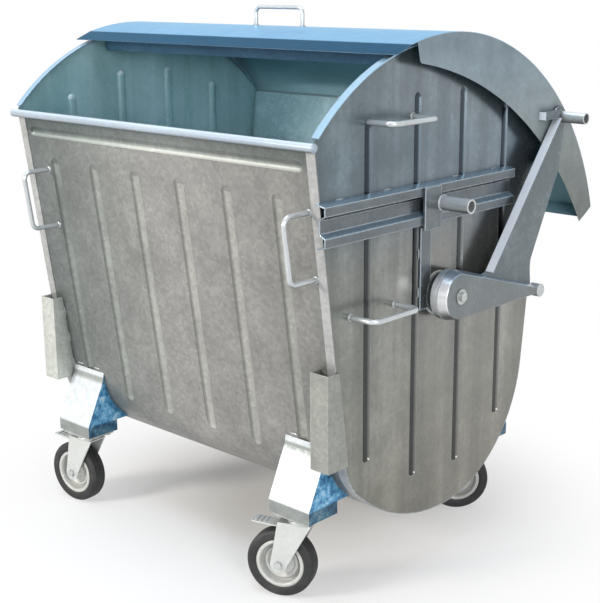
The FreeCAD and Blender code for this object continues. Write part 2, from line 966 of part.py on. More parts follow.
def make_lid_lip():
    thick_angle = math.degrees(lid_sheet / lid_r)
    return sector(
        lid_r - lip_depth,
        lid_r,
        lid_front_angle,
        lid_front_angle + thick_angle,
        lip_side_gap - half,
        half - lip_side_gap,
    )


# Cheek: a flat plate inside each end of the shell, with one rounded front corner
def make_lid_cheek():
    front = polar(lid_r - cheek_front_depth, cheek_front_angle)
    middle = polar(lid_r - cheek_middle_depth, cheek_middle_angle)
    rear = cheek_rear_corner()
    edges = lid_edges(0.0, cheek_front_angle)
    edges.append(line(polar(lid_r, cheek_front_angle), front))
    edges.append(arc(front, middle, rear))
    edges.append(line(rear, on_flare(0.0, lid_rear_angle)))
    shift = point(lid_half_length - lid_sheet, 0, 0)
    cheek = prism(edges, point(lid_sheet, 0, 0))
    cheek.translate(shift)
    corner = [edge for edge in cheek.Edges if edge.CenterOfMass.distanceToPoint(front + shift) < lid_sheet]
    return cheek.makeFillet(cheek_corner_r, corner)


def make_lid_handle():
    outer_r = lid_r + lid_sheet
    side = point(lid_handle_half, 0, 0)
    foot = polar(outer_r - lid_sheet, lid_handle_angle)
    top = polar(outer_r + lid_handle_height, lid_handle_angle)
    bar = bent_bar([foot - side, top - side, top + side, foot + side], lid_handle_r, lid_handle_bend)
    inside = cylinder(outer_r, -lid_half_length, lid_half_length, pivot_y, pivot_z)
    return bar.cut(inside)


# Lever housings: teardrops from the pivot to the tip
arm_x = lid_half_length + arm_gap
lever_back_x = arm_x - lever_back_depth
cover_x = arm_x + arm_thick
cover_face_x = cover_x + lever_cover_depth
lever_end = point(0, lever_tip_y, lever_tip_z)
lever_start = point(0, pivot_y, pivot_z)
lever_along = (lever_end - lever_start).normalize()
lever_side = point(0, -lever_along.z, lever_along.y)
lever_angle = math.degrees(math.atan2(lever_along.z, lever_along.y))


def teardrop(x, inset):
    big = lever_r - inset
    small = lever_tip_r - inset
    lean = math.acos((big - small) / (lever_end - lever_start).Length)
    ahead = lever_along * math.cos(lean)
    aside = lever_side * math.sin(lean)
    shift = point(x, 0, 0)
    high_root = lever_start + (ahead + aside) * big + shift
    low_root = lever_start + (ahead - aside) * big + shift
    high_tip = lever_end + (ahead + aside) * small + shift
    low_tip = lever_end + (ahead - aside) * small + shift
    return [
        arc(low_root, lever_start - lever_along * big + shift, high_root),
        line(high_root, high_tip),
        arc(high_tip, lever_end + lever_along * small + shift, low_tip),
        line(low_tip, low_root),
    ]


def lever_slab(inset, x0, x1):
    return prism(teardrop(x0, inset), point(x1 - x0, 0, 0))


bush_r = axle_stub_r + bush_wall


# A block beside the lever's axis, turned with the lever
def lever_block(x0, x1, along, side0, side1):
    start = pivot_y + along - stop_size / 2
    block = box(x0, x1, start, start + stop_size, pivot_z + side0, pivot_z + side1)
    block.rotate(lever_start, across, lever_angle)
    return block


def make_lever_back():
    shell = lever_slab(0.0, lever_back_x, arm_x)
    room = lever_slab(lever_sheet, lever_back_x + lever_sheet, arm_x)
    lug_half = stop_lug_height / 2
    lug = lever_block(lever_back_x - stop_lug_depth, lever_back_x, stop_distance, -lug_half, lug_half)
    bush_hole = cylinder(bush_r, lever_back_x, arm_x, pivot_y, pivot_z)
    return shell.cut(room).fuse(lug).removeSplitter().cut(bush_hole)


def make_lid_stop():
    top = -stop_lug_height / 2 - running_gap
    return lever_block(half, half + stop_block_depth, stop_distance, top - stop_block_height, top)


tip_stub_place = lever_end + lever_along * tip_stub_beyond


def make_tip_stub():
    return cylinder(tip_stub_r, cover_x, cover_x + tip_stub_length, tip_stub_place.y, tip_stub_place.z)


def drafted(inset, x0, x1, draft):
    return Part.makeLoft([wire(teardrop(x0, inset)), wire(teardrop(x1, inset + draft))], True, True)


# Dished cover with a drawn-in, rounded face
def make_lever_cover():
    cover = drafted(0.0, cover_x, cover_face_x, lever_cover_draft)
    face_edges = [edge for edge in cover.Edges if edge.BoundBox.XMin > cover_face_x - lever_sheet]
    cover = cover.makeFillet(lever_cover_round, face_edges)
    room_x = cover_face_x - lever_sheet
    share = (room_x - cover_x) / lever_cover_depth
    room = drafted(lever_sheet, cover_x, room_x, lever_cover_draft * share)
    hole = cylinder(axle_stub_r + cover_hole_gap, cover_x, cover_face_x, pivot_y, pivot_z)
    return cover.cut(room).cut(hole).cut(make_tip_stub())


def make_pivot_axle():
    disc_end = half + base_disc_thick
    disc = cylinder(base_disc_r, half, disc_end, pivot_y, pivot_z)
    shoulder = cylinder(shoulder_r, disc_end, lever_back_x - running_gap, pivot_y, pivot_z)
    stub_end = cover_face_x + running_gap
    stub = cylinder(axle_stub_r, disc_end, stub_end, pivot_y, pivot_z)
    thread = cylinder(bolt_shank_r, stub_end - bolt_shank_length, stub_end, pivot_y, pivot_z)
    return joined([disc, shoulder, stub]).cut(thread)


def make_pivot_bolt():
    stub_end = cover_face_x + running_gap
    shank = cylinder(bolt_shank_r, stub_end - bolt_shank_length, stub_end, pivot_y, pivot_z)
    washer_end = stub_end + bolt_washer_thick
    washer = cylinder(bolt_washer_r, stub_end, washer_end, pivot_y, pivot_z)
    head = hexagon(bolt_flats, bolt_head, point(washer_end, pivot_y, pivot_z), across)
    return joined([shank, washer, head])


def make_pivot_bush():
    outer = cylinder(bush_r, lever_back_x, cover_face_x - lever_sheet, pivot_y, pivot_z)
    bore_r = axle_stub_r + shaft_clearance
    return outer.cut(cylinder(bore_r, lever_back_x, cover_face_x, pivot_y, pivot_z))


# Lid arm: a tapered plate clamped between the lever housings, with a folded front edge
arm_front_low = point(0, arm_front_low_y, arm_front_low_z)
arm_front_top = point(0, arm_front_top_y, arm_front_top_z)
arm_run = (arm_front_top - arm_front_low).normalize()
arm_inward = point(0, arm_run.z, -arm_run.y)


def arm_pin_block(radius, x0, x1):
    return cylinder(radius, x0, x1, arm_pin_y, arm_pin_z)


def arm_plate(x0, x1):
    corners = [
        lever_start,
        arm_front_low,
        arm_front_top,
        point(0, arm_pin_y + arm_eye_r, arm_pin_z),
        point(0, arm_rear_knee_y, arm_rear_knee_z),
        point(0, arm_rear_low_y, arm_rear_low_z),
        lever_end,
    ]
    plate = prism(polygon(corners), point(x1 - x0, 0, 0))
    plate.translate(point(x0, 0, 0))
    return joined([plate, arm_pin_block(arm_eye_r, x0, x1), lever_slab(lever_parting, x0, x1)])


def make_lid_arm():
    plate = arm_plate(arm_x, cover_x)
    front = [
        arm_front_low,
        arm_front_top,
        arm_front_top + arm_inward * arm_thick,
        arm_front_low + arm_inward * arm_thick,
    ]
    flange = prism(polygon(front), point(arm_flange, 0, 0))
    flange.translate(point(cover_x, 0, 0))
    flange = flange.cut(lever_slab(-flange_cover_gap, cover_x, cover_x + arm_flange))
    bush_hole = cylinder(bush_r, arm_x, cover_x, pivot_y, pivot_z)
    arm = plate.fuse(flange).removeSplitter()
    return arm.cut(bush_hole).cut(arm_pin_block(arm_pin_r, lid_half_length, lid_half_length + arm_pin_reach))


def make_arm_pin():
    end = lid_half_length + arm_pin_reach
    bore = arm_pin_block(arm_pin_r - arm_pin_wall, lid_half_length, end)
    return arm_pin_block(arm_pin_r, lid_half_length, end).cut(bore)


# Square bar between the lid's cheek and the folded edge of the arm
def make_arm_bracket():
    end = lid_half_length + bracket_depth
    top_z = bracket_bottom_z + bracket_height
    bar = box(lid_half_length, end, bracket_front_y, arm_pin_y, bracket_bottom_z, top_z)
    behind = [
        arm_front_low,
        arm_front_top + arm_run * lid_r,
        arm_front_top + (arm_run + arm_inward) * lid_r,
        arm_front_low + arm_inward * lid_r,
    ]
    rear_space = prism(polygon(behind), point(end, 0, 0))
    return bar.cut(rear_space).cut(arm_pin_block(arm_eye_r, arm_x, cover_x))


def export(name, shape):
    shape.exportStep("parts/" + name + ".step")


def export_sides(name, shape):
    export(name + "_right", shape)
    export(name + "_left", mirrored(shape))


os.makedirs("parts", exist_ok=True)

# Body
export("front_wall", make_front_wall())
export("bottom_trough", profile_band(-sheet, 0.0, 2, 4, -half, half))
export("rear_wall", make_rear_wall())
export_sides("end_wall", make_end_wall())
export("edge_strips", both_ends(profile_band(0.0, sheet, 0, 5, half - strip_width, half)))
export("dome_bars", both_ends(make_dome_bar()))
export("front_rim", make_rim(front_rim_place))
export("rear_rim", make_rim(rear_rim_place))
export("side_rail_right", make_side_rail(rail_front_right_y))
export("side_rail_left", mirrored(make_side_rail(rail_front_left_y)))
export_sides("trunnion", make_trunnion())
export("trunnion_straps", both_ends(make_trunnion_strap()))
export("front_handle_right", make_front_handle(front_handle_right_x))
export("front_handle_left", make_front_handle(front_handle_left_x))
export_sides("end_handles", make_end_handles())
export("corner_pockets", both_ends(make_corner_pocket()))
export_sides("leg_front", make_leg(-1, castor_front_y))
export_sides("leg_rear", make_leg(1, castor_rear_y))
export("pivot_axles", both_ends(make_pivot_axle()))
export("pivot_bolts", both_ends(make_pivot_bolt()))
export("lid_stops", both_ends(make_lid_stop()))

# Lid
export("lid_shell", make_lid_shell())
export("lid_front_lip", make_lid_lip())
export_sides("lid_cheek", make_lid_cheek())
export("lid_handle", make_lid_handle())
export_sides("lid_arm", make_lid_arm())
export("lever_backs", both_ends(make_lever_back()))
export_sides("lever_cover", make_lever_cover())
export("lever_tips", both_ends(make_tip_stub()))
export("arm_pins", both_ends(make_arm_pin()))
export("arm_brackets", both_ends(make_arm_bracket()))
export("pivot_bushes", both_ends(make_pivot_bush()))

# Castors
castor_plates = []
castor_fasteners = []
for name in castor_turns:
    x, y = castor_place(name)
    braked = name.startswith("front")
    castor_plates.append(make_castor_plate(x, y))
    castor_fasteners.append(make_king_pin(x, y))
    castor_fasteners += [make_castor_bolt(bolt_x, bolt_y) for bolt_x, bolt_y in bolt_places(x, y)]
    export("fork_" + name, placed(make_fork(braked), name))
    export("axle_" + name, placed(make_axle(), name))
    export("wheel_rim_" + name, placed(make_wheel_rim(), name))
    export("tyre_" + name, placed(make_tyre(), name))
    if braked:
        export("brake_pedal_" + name, placed(make_pedal(), name))
export("castor_plates", Part.makeCompound(castor_plates))
export("castor_fasteners", Part.makeCompound(castor_fasteners))
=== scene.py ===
import bpy
import json
import math
from mathutils import Matrix, Vector


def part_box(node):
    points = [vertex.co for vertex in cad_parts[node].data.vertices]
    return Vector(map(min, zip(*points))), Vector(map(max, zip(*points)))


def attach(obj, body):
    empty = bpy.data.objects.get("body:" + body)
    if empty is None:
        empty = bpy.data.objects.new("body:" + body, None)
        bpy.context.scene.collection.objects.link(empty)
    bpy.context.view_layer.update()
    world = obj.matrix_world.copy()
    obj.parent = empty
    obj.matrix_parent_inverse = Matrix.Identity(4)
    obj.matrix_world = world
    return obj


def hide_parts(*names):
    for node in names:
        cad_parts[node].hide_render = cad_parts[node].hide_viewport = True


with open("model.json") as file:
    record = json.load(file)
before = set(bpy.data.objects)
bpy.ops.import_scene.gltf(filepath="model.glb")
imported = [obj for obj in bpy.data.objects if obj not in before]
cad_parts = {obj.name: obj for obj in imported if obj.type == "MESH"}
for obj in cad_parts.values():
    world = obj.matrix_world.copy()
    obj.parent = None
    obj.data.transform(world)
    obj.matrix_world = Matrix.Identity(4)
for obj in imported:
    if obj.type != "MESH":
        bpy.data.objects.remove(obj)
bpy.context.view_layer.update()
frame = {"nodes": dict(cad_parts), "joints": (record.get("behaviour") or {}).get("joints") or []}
nodes = frame["nodes"]
joints = {joint["name"]: joint for joint in frame["joints"]}
castorNames = ["front_right", "front_left", "rear_right", "rear_left"]
print("frame loaded:", len(nodes), "CAD nodes")


def linearColour(code):  # sRGB hex to linear RGBA
    values = [int(code[i:i + 2], 16) / 255 for i in (1, 3, 5)]
    return [v / 12.92 if v <= 0.04045 else ((v + 0.055) / 1.055) ** 2.4 for v in values] + [1.0]


def addNode(tree, kind, settings, inputs):  # inputs by name or number: a socket is linked, a value is set
    node = tree.nodes.new(kind)
    for key, value in settings.items():
        if key == "stops":  # colour ramp: (position, hex)
            while len(node.color_ramp.elements) < len(value):
                node.color_ramp.elements.new(0.5)
            for element, (position, code) in zip(node.color_ramp.elements, value):
                element.position = position
                element.color = linearColour(code)
        else:
            setattr(node, key, value)
    for key, value in inputs.items():
        if isinstance(value, bpy.types.NodeSocket):
            tree.links.new(value, node.inputs[key])
        else:
            node.inputs[key].default_value = value
    return node


def evenStops(codes):  # hex colours spread evenly over a ramp
    return [(i / (len(codes) - 1), code) for i, code in enumerate(codes)]


def newMaterial(name):
    material = bpy.data.materials.new(name)
    material.use_nodes = True
    material.node_tree.nodes.clear()
    return material, material.node_tree


def straightRays(tree):  # 1 for rays that show the surroundings themselves: to the camera, mirrored or let through
    ray = addNode(tree, "ShaderNodeLightPath", {}, {})
    seen = ray.outputs["Is Camera Ray"]
    for kind in ("Is Glossy Ray", "Is Transmission Ray"):
        seen = addNode(tree, "ShaderNodeMath", {"operation": "MAXIMUM"}, {0: seen, 1: ray.outputs[kind]}).outputs[0]
    return seen


# Hot-dip galvanised steel: grey zinc crystals a finger-width across, cloudy patches where the zinc has dulled,
# runs down the sheet, painted highlights on the edges and painted shade in the corners. Painted light and shade
# make faces turned to the sky whiter and cooler than those turned to the ground.
zincLook = {"cloudDetail": 6.0, "cloudRoughness": 0.66, "cloudSpan": (0.3, 0.7), "runDetail": 3.0, "waveDetail": 2.0,
            "waveDeepMm": 4.0, "grainDeepMm": 0.6, "middle": (0.0, 0.0, 0.8), "insideMetallic": 0.1,
            "glintSpan": (-0.05, 0.3), "rubbedSpan": (0.995, 0.9), "grimeSpan": (0.85, 0.3), "grime": "#4d4f4c",
            "raySamples": 4}


def galvanised(name, finish):
    material, tree = newMaterial(name)
    place = addNode(tree, "ShaderNodeTexCoord", {}, {})
    spot, facing = place.outputs["Object"], place.outputs["Normal"]
    crystals = addNode(tree, "ShaderNodeTexVoronoi", {"feature": "F1"},
                       {"Vector": spot, "Scale": 1000 / finish["spangleMm"], "Randomness": 1.0})
    crystalTone = addNode(tree, "ShaderNodeSeparateColor", {}, {"Color": crystals.outputs["Color"]})
    clouds = addNode(tree, "ShaderNodeTexNoise", {},
                     {"Vector": spot, "Scale": 1000 / finish["cloudMm"], "Detail": zincLook["cloudDetail"],
                      "Roughness": zincLook["cloudRoughness"]})
    runWide, runLong = finish["runMm"]
    stretched = addNode(tree, "ShaderNodeMapping", {},
                        {"Vector": spot, "Scale": (1000 / runWide, 1000 / runWide, 1000 / runLong)})
    runs = addNode(tree, "ShaderNodeTexNoise", {},
                   {"Vector": stretched.outputs[0], "Scale": 1.0, "Detail": zincLook["runDetail"]})
    dull, clear = zincLook["cloudSpan"]
    tone = addNode(tree, "ShaderNodeMapRange", {},
                   {"Value": clouds.outputs["Fac"], "From Min": dull, "From Max": clear,
                    "To Min": 0.5 - finish["cloudShare"] / 2, "To Max": 0.5 + finish["cloudShare"] / 2}).outputs[0]
    for value, share in ((crystalTone.outputs[0], finish["spangleShare"]), (runs.outputs["Fac"], finish["runShare"])):
        swing = addNode(tree, "ShaderNodeMath", {"operation": "MULTIPLY_ADD"}, {0: value, 1: share, 2: -share / 2})
        tone = addNode(tree, "ShaderNodeMath", {"operation": "ADD", "use_clamp": True},
                       {0: tone, 1: swing.outputs[0]}).outputs[0]
    colour = addNode(tree, "ShaderNodeValToRGB", {"stops": evenStops(finish["greys"])}, {0: tone}).outputs[0]
    for kind, way, low, high, codes in finish["patches"]:  # painted light and shade: faces that turn or lie far enough one way take other colours
        reach = addNode(tree, "ShaderNodeVectorMath", {"operation": "DOT_PRODUCT"}, {0: place.outputs[kind], 1: way})
        share = addNode(tree, "ShaderNodeMapRange", {"interpolation_type": "SMOOTHSTEP"},
                        {"Value": reach.outputs["Value"], "From Min": low, "From Max": high})
        other = addNode(tree, "ShaderNodeValToRGB", {"stops": evenStops(codes)}, {0: tone})
        colour = addNode(tree, "ShaderNodeMix", {"data_type": "RGBA"},
                         {0: share.outputs[0], 6: colour, 7: other.outputs[0]}).outputs[2]
    metal = finish["metallic"]
    if finish["inside"]:  # painted light: the faces turned to the middle of the container take lighter, teal colours
        weights, codes = finish["inside"]
        inner = addNode(tree, "ShaderNodeValToRGB", {"stops": evenStops(codes)}, {0: tone})
        fromMiddle = addNode(tree, "ShaderNodeVectorMath", {"operation": "SUBTRACT"}, {0: spot, 1: zincLook["middle"]})
        weighed = addNode(tree, "ShaderNodeVectorMath", {"operation": "MULTIPLY"},
                          {0: fromMiddle.outputs[0], 1: weights})
        outward = addNode(tree, "ShaderNodeVectorMath", {"operation": "DOT_PRODUCT"},
                          {0: weighed.outputs[0], 1: facing})
        isInside = addNode(tree, "ShaderNodeMath", {"operation": "LESS_THAN"}, {0: outward.outputs["Value"], 1: 0.0})
        colour = addNode(tree, "ShaderNodeMix", {"data_type": "RGBA"},
                         {0: isInside.outputs[0], 6: colour, 7: inner.outputs[0]}).outputs[2]
        if finish["glint"]:  # painted highlight: the round top ends of the swages, as if they catch the light from the mouth
            level, steep = zincLook["glintSpan"]
            rise = addNode(tree, "ShaderNodeSeparateXYZ", {}, {0: facing})
            share = addNode(tree, "ShaderNodeMapRange", {"interpolation_type": "SMOOTHSTEP"},
                            {"Value": rise.outputs["Z"], "From Min": level, "From Max": steep,
                             "To Max": isInside.outputs[0]})
            colour = addNode(tree, "ShaderNodeMix", {"data_type": "RGBA"},
                             {0: share.outputs[0], 6: colour, 7: linearColour(finish["glint"])}).outputs[2]
        metal = addNode(tree, "ShaderNodeMapRange", {},  # dull inside
                        {"Value": isInside.outputs[0], "To Min": metal,
                         "To Max": zincLook["insideMetallic"]}).outputs[0]
    for axis, places in finish["tints"]:  # painted light, shade and sky reflection: a tint that changes along the piece
        along = addNode(tree, "ShaderNodeSeparateXYZ", {}, {0: spot})
        lowest, highest = places[0][0], places[-1][0]
        share = addNode(tree, "ShaderNodeMapRange", {},
                        {"Value": along.outputs[axis], "From Min": lowest, "From Max": highest})
        stops = [((at - lowest) / (highest - lowest), code) for at, code in places]
        tint = addNode(tree, "ShaderNodeValToRGB", {"stops": stops}, {0: share.outputs[0]})
        colour = addNode(tree, "ShaderNodeMix", {"data_type": "RGBA", "blend_type": "MULTIPLY"},
                         {0: 1.0, 6: colour, 7: tint.outputs[0]}).outputs[2]
    soft = addNode(tree, "ShaderNodeBevel", {"samples": zincLook["raySamples"]}, {"Radius": finish["edgeMm"] / 1000})
    flat = addNode(tree, "ShaderNodeNewGeometry", {}, {})
    sameWay = addNode(tree, "ShaderNodeVectorMath", {"operation": "DOT_PRODUCT"},
                      {0: soft.outputs[0], 1: flat.outputs["Normal"]})
    # painted highlight: the rounded edges take the lightest grey
    even, turned = zincLook["rubbedSpan"]
    rubbed = addNode(tree, "ShaderNodeMapRange", {},
                     {"Value": sameWay.outputs["Value"], "From Min": even, "From Max": turned,
                      "To Max": finish["edgeShare"]})
    colour = addNode(tree, "ShaderNodeMix", {"data_type": "RGBA"},
                     {0: rubbed.outputs[0], 6: colour, 7: linearColour(finish["greys"][-1])}).outputs[2]
    # painted shade: colour darkened where little of the surroundings is open to a point, in corners, creases and under
    # parts
    unshaded = addNode(tree, "ShaderNodeAmbientOcclusion", {"samples": zincLook["raySamples"]},
                       {"Distance": finish["grimeMm"] / 1000})
    bare, deep = zincLook["grimeSpan"]
    grimy = addNode(tree, "ShaderNodeMapRange", {},
                    {"Value": unshaded.outputs["AO"], "From Min": bare, "From Max": deep,
                     "To Max": finish["grimeShare"]})
    colour = addNode(tree, "ShaderNodeMix", {"data_type": "RGBA", "blend_type": "MULTIPLY"},
                     {0: grimy.outputs[0], 6: colour, 7: linearColour(zincLook["grime"])}).outputs[2]
    smooth, rough = finish["roughness"]
    gloss = addNode(tree, "ShaderNodeMapRange", {},
                    {"Value": tone, "From Min": 1.0, "From Max": 0.0, "To Min": smooth, "To Max": rough})
    waves = addNode(tree, "ShaderNodeTexNoise", {},
                    {"Vector": spot, "Scale": 1000 / finish["waveMm"], "Detail": zincLook["waveDetail"]})
    wavy = addNode(tree, "ShaderNodeBump", {},
                   {"Strength": finish["waveStrength"], "Distance": zincLook["waveDeepMm"] / 1000,
                    "Height": waves.outputs["Fac"], "Normal": soft.outputs[0]})
    grain = addNode(tree, "ShaderNodeBump", {},
                    {"Strength": finish["grainStrength"], "Distance": zincLook["grainDeepMm"] / 1000,
                     "Height": tone, "Normal": wavy.outputs[0]})
    surface = addNode(tree, "ShaderNodeBsdfPrincipled", {},
                      {"Base Color": colour, "Metallic": metal, "Specular Tint": linearColour(finish["glance"]),
                       "Roughness": gloss.outputs[0], "Normal": grain.outputs[0]})
    addNode(tree, "ShaderNodeOutputMaterial", {}, {"Surface": surface.outputs[0]})
    return material


sheetFinish = {"greys": ("#797876", "#8d8c89", "#a4a29e"), "spangleMm": 10, "spangleShare": 0.3, "cloudMm": 120,
               "cloudShare": 0.5, "runMm": (40, 900), "runShare": 0.25, "roughness": (0.38, 0.5), "metallic": 0.35,
               "waveMm": 160, "waveStrength": 0.15, "grainStrength": 0.12, "edgeMm": 1.5, "edgeShare": 0.6,
               "grimeMm": 25, "grimeShare": 0.5, "patches": [], "tints": [], "inside": None, "glint": None,
               "glance": "#ffffff"}
hollow, ends = (0.0, 1.0, 0.4), (1.0, 0.0, 0.0)  # which way the inside lies, for long sheets and for end sheets
barFinish = {"spangleMm": 9, "spangleShare": 0.1, "cloudShare": 0.2, "runShare": 0.1, "roughness": (0.2, 0.3),
             "metallic": 0.6, "waveStrength": 0.05, "grainStrength": 0.05}  # smooth, bright round stock
# painted reflection of the sky on the crumpled side plates
crumpledBlue = ("#184665", "#3a7ca8", "#6caed4", "#d8edf7")


def sheet(**changes):
    return {**sheetFinish, **changes}


frontSheet = galvanised("galvanised_sheet_front", sheet(
    patches=[  # painted light and shade: pale swage floors, plain flanks turned down, dark flanks turned right, light flanks turned up
        ("Object", (0, 0.99108, 0.13329), -0.3338, -0.3316, ("#8e8e8a", "#a5a5a0", "#bcbcb6")),
        ("Normal", (0, 0, -1), 0.16, 0.24, sheetFinish["greys"]),
        ("Normal", (1, 0, 0), 0.2, 0.5, ("#666762", "#80817b")),
        ("Normal", (0, 0, 1), 0.05, 0.4, ("#cfd0ca", "#e6e7e1"))],
    # painted shade: darker towards the left end and below the rim
    tints=[("X", [(-0.62, "#b3c0c2"), (-0.3, "#dae1e1"), (0.0, "#ffffff"), (0.35, "#f4f4f3"), (0.62, "#dcdedc")]),
           ("Z", [(1.225, "#ffffff"), (1.25, "#c8d3d4"), (1.3, "#bcc8c9")])],
    inside=(hollow, ("#8ab4bc", "#bfe0e6")), spangleShare=0.4, cloudShare=0.6))
stripSheet = galvanised("galvanised_corner_strip", sheet(greys=("#8f9190", "#a8a9a8", "#c3c4c3")))
hullSheet = galvanised("galvanised_sheet_trough", sheet(inside=(hollow, ("#81a9b4", "#9bbdc7", "#c4dde3"))))
endSheets = {}
for side, way in (("right", -1), ("left", 1)):  # way: from the outer face inwards
    endSheets[side] = galvanised("galvanised_sheet_end_" + side, sheet(
        greys=("#6f7376", "#9a9d9d", "#d2d7d8"), spangleShare=0.08, runShare=0.9, cloudShare=0.2, runMm=(80, 1800),
        patches=[("Object", (way, 0, 0), -0.6224, -0.6195, ("#4a4e51", "#62666a")),  # painted shade on the floor of the swages
                 # painted light on the flanks turned to the front
                 ("Normal", (0, -1, 0), 0.4, 0.75, ("#7a7f81", "#9a9fa1"))],
        # painted reflection of the ground low down and of the sky high up, and painted shade towards the front
        tints=[("Z", [(0.2, "#e6dfd1"), (0.6, "#f6f1e7"), (0.95, "#efece7"), (1.12, "#cfdae5"), (1.25, "#c9d8e4"),
                      (1.4, "#dbe8f1"), (1.5, "#dbe8f1")]),
               ("Y", [(-0.45, "#dde1df"), (-0.2, "#ebeceb"), (0.05, "#ffffff"), (0.5, "#f6f6f6")])],
        inside=(ends, ("#8fb6b2", "#a9d0cc", "#d6f2ee", "#ffffff")), glint="#f4fcfc",
        roughness=(0.2, 0.32), metallic=0.85, waveStrength=0.35))
barZinc = galvanised("galvanised_round_bar", sheet(
    **barFinish, greys=("#93a1ae", "#aebac6", "#cfdae3"),
    # painted sky reflection: bluish, lighter on faces turned up; painted shade on faces turned down
    patches=[("Normal", (0, 0, 1), 0.2, 0.9, ("#c4d6e4", "#e2edf4")),
             ("Normal", (0, 0, -1), 0.2, 0.9, ("#5d6269", "#7a7f83"))]))
handleZinc = galvanised("galvanised_bent_bar", sheet(
    **{**barFinish, "metallic": 0.5}, greys=("#a9afb1", "#c6cbcc", "#e6eaea"),
    # painted shade on faces turned down
    patches=[("Normal", (0, 0, -1), 0.2, 0.9, ("#6f7375", "#8b8f90"))]))
# blue-grey: painted reflection of the sky
domeZinc = galvanised("galvanised_edge_bar", sheet(**barFinish, greys=("#88aec8", "#a4c6dd", "#cce3f0")))
railZinc = galvanised("galvanised_folded_rail", sheet(
    greys=("#555c60", "#656c70", "#777e82", "#d4e2ed"), runMm=(60, 60), spangleShare=0.1, cloudShare=0.3, runShare=0.1,
    # painted sky reflection on faces turned up, painted shade on faces turned down
    patches=[("Normal", (0, 0, 1), 0.15, 0.6, ("#8ca8bd", "#b3ccdd")),
             ("Normal", (0, 0, -1), 0.15, 0.6, ("#35342f", "#4f4c45"))],
    roughness=(0.2, 0.32), metallic=0.7, waveStrength=0.1, edgeMm=5, edgeShare=0.9))
tubeZinc = galvanised("galvanised_tube", sheet(
    **barFinish, greys=("#a9aeae", "#c8cdcc", "#eceeed"),
    # painted light on faces turned up, painted shade on faces turned down
    patches=[("Normal", (0, 0, 1), 0.2, 0.9, ("#d8dee1", "#eff3f4")),
             ("Normal", (0, 0, -1), 0.2, 0.9, ("#5b5e5f", "#75787a"))]))
pocketZinc = galvanised("galvanised_channel", sheet(
    # painted light: lighter towards the left end
    greys=("#a3a6a0", "#bec1ba", "#dbddd5"), tints=[("X", [(-0.6, "#ffffff"), (0.5, "#c7c7c5")])],
    grimeMm=30, grimeShare=0.7))
# fresh zinc on the legs: painted light makes the front near white, painted sky reflection makes the sides crumpled
# blue, and painted shade makes grey bands at the foot and the flange
legZinc = galvanised("galvanised_leg_fresh", sheet(
    greys=("#c3cacd", "#d6dcde", "#e9eced"), spangleShare=0.0, cloudMm=22, cloudShare=1.0,
    tints=[("Z", [(0.258, "#a5a6a2"), (0.292, "#a5a6a2"), (0.298, "#ffffff"), (0.425, "#ffffff"), (0.436, "#b9bab5"),
                  (0.447, "#b9bab5"), (0.452, "#ffffff"), (0.475, "#ffffff")])],
    patches=[("Normal", (1, 0, 0), 0.6, 0.8, crumpledBlue), ("Normal", (-1, 0, 0), 0.6, 0.8, crumpledBlue)],
    roughness=(0.25, 0.4), metallic=0.2, waveMm=18, waveStrength=0.3))
# painted sky reflection on the lid: blue at its front edge, fading to grey behind, with painted shade on faces turned
# to the back and a blue tint in its reflections
lidSheet = galvanised("galvanised_lid_sheet", sheet(
    greys=("#869fbe", "#a0b8d2", "#bcd4e8"), inside=(hollow, ("#769fab", "#a6cdd6")), roughness=(0.25, 0.38),
    patches=[("Object", (0, 1, 0), 0.0, 0.3, ("#7f91a2", "#9dafbf")),
             ("Normal", (0, 1, 0), 0.35, 0.9, ("#747b7d", "#939a9b"))],
    tints=[("Y", [(-0.25, "#28566c"), (-0.189, "#28566c"), (-0.184, "#ffffff"), (0.8, "#ffffff")])],  # shaded visor
    spangleShare=0.1, cloudShare=0.2, metallic=0.6, glance="#7fdeff"))
cheekSheet = galvanised("galvanised_lid_cheek", sheet(
    greys=("#7d8c92", "#99a7ad", "#b1c1c6"), inside=(ends, ("#6b929d", "#9ac0c8")), spangleShare=0.12,
    # painted light and reflection: warm and darker low down, lightest in the middle, bluish at the top
    tints=[("Z", [(0.95, "#cdc4b8"), (1.18, "#e3dcd2"), (1.32, "#f6f4f0"), (1.45, "#e6ebee"), (1.55, "#d6dce0")])]))
# dark blue front lip: painted shade and reflection of the sky
lipSheet = galvanised("galvanised_lid_lip", sheet(
    greys=("#3b566e", "#486983", "#7698b6"), roughness=(0.25, 0.4), metallic=0.6, runMm=(300, 60),
    spangleShare=0.1, cloudShare=0.25))
leverZinc = galvanised("galvanised_pressing", sheet(
    greys=("#636a6b", "#7a8182", "#a2aaac"), spangleShare=0.1, cloudShare=0.2, runShare=0.1,
    # painted sky reflection on faces turned up, painted highlight on faces turned to the front, painted shade on faces
    # turned down
    patches=[("Normal", (0, 0, 1), 0.3, 0.9, ("#8ba2b8", "#bccbd7")),
             ("Normal", (0, -1, 0), 0.4, 0.9, ("#eef1f3", "#ffffff")),
             ("Normal", (0, 0, -1), 0.3, 0.9, ("#45484a", "#5b5e60"))],
    roughness=(0.2, 0.3), metallic=0.6, waveStrength=0.08, edgeMm=3))
armZinc = galvanised("galvanised_flat_bar", sheet(
    greys=("#586163", "#6b7679", "#a9b7bf"), spangleShare=0.12, cloudShare=0.3,
    # painted highlight on the flange turned to the front
    patches=[("Normal", (0, -1, 0), 0.3, 0.7, ("#dfeaf2", "#ffffff"))],
    roughness=(0.28, 0.4), metallic=0.1, edgeMm=2.5, edgeShare=0.6))
